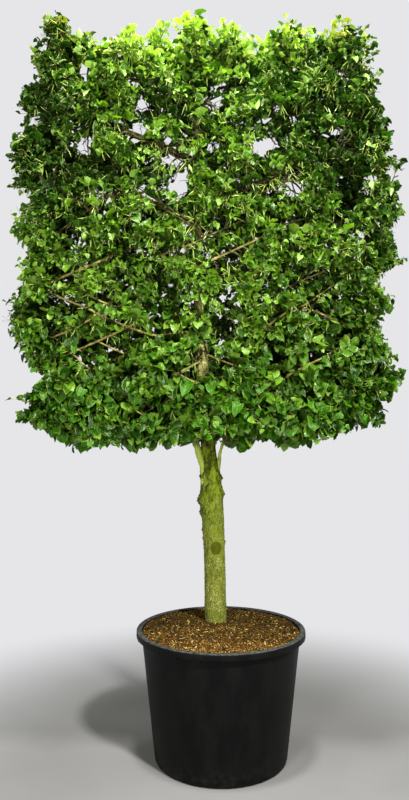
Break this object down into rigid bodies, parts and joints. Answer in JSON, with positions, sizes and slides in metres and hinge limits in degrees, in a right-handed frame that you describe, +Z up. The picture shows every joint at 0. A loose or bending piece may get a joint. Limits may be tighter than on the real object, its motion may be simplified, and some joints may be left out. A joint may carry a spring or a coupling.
{
  "type": "pleached linden tree in a nursery container",
  "caption": "Linden trained flat on a clear stem, its leafy crown clipped to an upright rectangle, growing in a round tapered container with a turned-down rim.",
  "frame": {"origin": "centre of the container's flat underside, on the ground it stands on", "axes": "+Z up along the container's axis, +X to the right along the crown's broad face, -Y towards whoever faces that broad face"},
  "size_m": [2.1914, 0.942, 4.1591],
  "materials": {
    "bark": "rough",
    "leaves": "satin",
    "container_plastic": "satin",
    "planting_mix": "rough"
  },
  "bodies": {
    "root": {"pot": "container_plastic", "soil": "planting_mix", "trunk": "bark", "bough_left_1": "bark", "bough_left_2": "bark", "bough_left_3": "bark", "bough_left_4": "bark", "bough_left_5": "bark", "bough_left_6": "bark", "bough_left_7": "bark", "bough_right_1": "bark", "bough_right_2": "bark", "bough_right_3": "bark", "bough_right_4": "bark", "bough_right_5": "bark", "bough_right_6": "bark", "bough_right_7": "bark", "foliage_left_1_inner": "leaves", "foliage_left_1_outer": "leaves", "foliage_left_2_inner": "leaves", "foliage_left_2_outer": "leaves", "foliage_left_3_inner": "leaves", "foliage_left_3_outer": "leaves", "foliage_left_4_inner": "leaves", "foliage_left_4_outer": "leaves", "foliage_left_5_inner": "leaves", "foliage_left_5_outer": "leaves", "foliage_left_6_inner": "leaves", "foliage_left_6_outer": "leaves", "foliage_left_7_inner": "leaves", "foliage_left_7_outer": "leaves", "foliage_right_1_inner": "leaves", "foliage_right_1_outer": "leaves", "foliage_right_2_inner": "leaves", "foliage_right_2_outer": "leaves", "foliage_right_3_inner": "leaves", "foliage_right_3_outer": "leaves", "foliage_right_4_inner": "leaves", "foliage_right_4_outer": "leaves", "foliage_right_5_inner": "leaves", "foliage_right_5_outer": "leaves", "foliage_right_6_inner": "leaves", "foliage_right_6_outer": "leaves", "foliage_right_7_inner": "leaves", "foliage_right_7_outer": "leaves", "foliage_top_left": "leaves", "foliage_top_middle": "leaves", "foliage_top_right": "leaves"}
  },
  "joints": []
}
